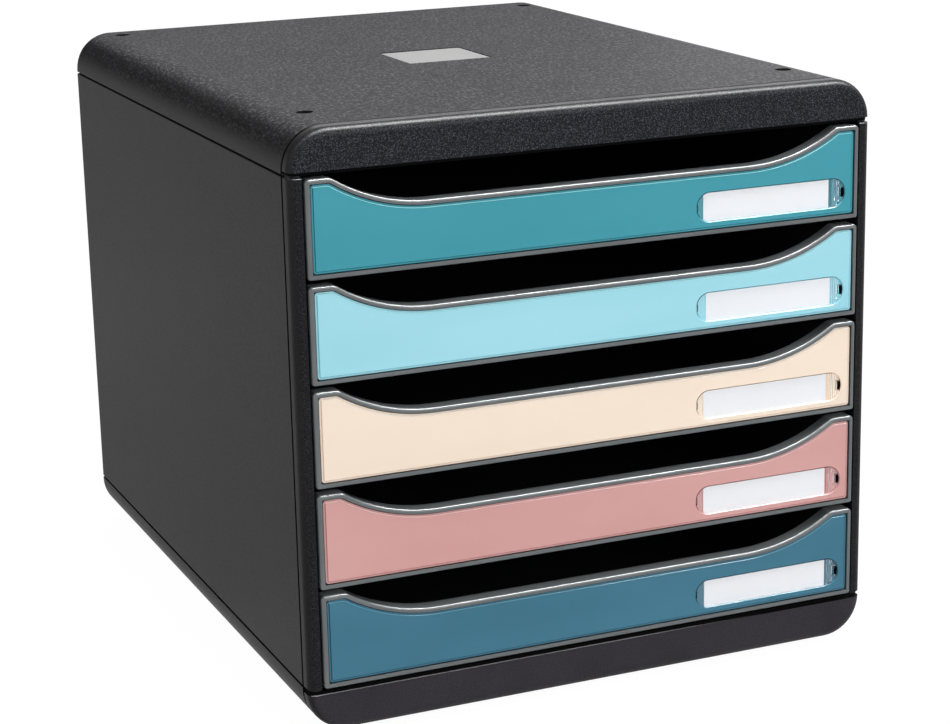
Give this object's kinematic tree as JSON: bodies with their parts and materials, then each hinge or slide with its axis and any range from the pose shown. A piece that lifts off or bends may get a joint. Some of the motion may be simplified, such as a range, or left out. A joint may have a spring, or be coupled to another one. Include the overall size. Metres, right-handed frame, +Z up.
{
  "type": "desktop drawer unit",
  "caption": "Desktop drawer unit for sheets and small parts: rounded black case with stacked grey trays that slide out, each with a finger dip, coloured front panel and label window.",
  "frame": {"origin": "middle of the unit's footprint on the surface that the feet stand on (bottom centre of the bounding box)", "axes": "+Z up, -Y towards the user (the trays slide out along -Y), +X to the user's right when facing the front"},
  "size_m": [0.278, 0.347, 0.271],
  "materials": {
    "case": "fine grained black polystyrene, satin",
    "back": "plain black polystyrene",
    "rubber_feet": "matt black rubber",
    "screws": "black oxide steel, recessed",
    "tray_grey": "grey polystyrene, semi gloss on the rolled lip",
    "panel_teal": "glossy teal",
    "panel_light_blue": "glossy light blue",
    "panel_cream": "glossy cream",
    "panel_pink": "glossy dusty pink",
    "panel_petrol": "glossy petrol blue",
    "label_paper": "blank white card",
    "window_clear": "clear polystyrene, glossy"
  },
  "bodies": {
    "case": {"top_cover": "case", "base_cover": "case", "left_side_panel": "case", "right_side_panel": "case", "back_panel": "back", "feet": "rubber_feet", "top_screws": "screws", "base_screws": "screws"},
    "drawer_1": {"tray_1": "tray_grey", "front_panel_1": "panel_teal", "label_card_1": "label_paper", "label_window_1": "window_clear"},
    "drawer_2": {"tray_2": "tray_grey", "front_panel_2": "panel_light_blue", "label_card_2": "label_paper", "label_window_2": "window_clear"},
    "drawer_3": {"tray_3": "tray_grey", "front_panel_3": "panel_cream", "label_card_3": "label_paper", "label_window_3": "window_clear"},
    "drawer_4": {"tray_4": "tray_grey", "front_panel_4": "panel_pink", "label_card_4": "label_paper", "label_window_4": "window_clear"},
    "drawer_5": {"tray_5": "tray_grey", "front_panel_5": "panel_petrol", "label_card_5": "label_paper", "label_window_5": "window_clear"}
  },
  "joints": [
    {"name": "drawer_1_slide", "type": "slide", "parent": "case", "child": "drawer_1", "axis": [0, -1, 0], "range_m": [0, 0.25]},
    {"name": "drawer_2_slide", "type": "slide", "parent": "case", "child": "drawer_2", "axis": [0, -1, 0], "range_m": [0, 0.25]},
    {"name": "drawer_3_slide", "type": "slide", "parent": "case", "child": "drawer_3", "axis": [0, -1, 0], "range_m": [0, 0.25]},
    {"name": "drawer_4_slide", "type": "slide", "parent": "case", "child": "drawer_4", "axis": [0, -1, 0], "range_m": [0, 0.25]},
    {"name": "drawer_5_slide", "type": "slide", "parent": "case", "child": "drawer_5", "axis": [0, -1, 0], "range_m": [0, 0.25]}
  ]
}
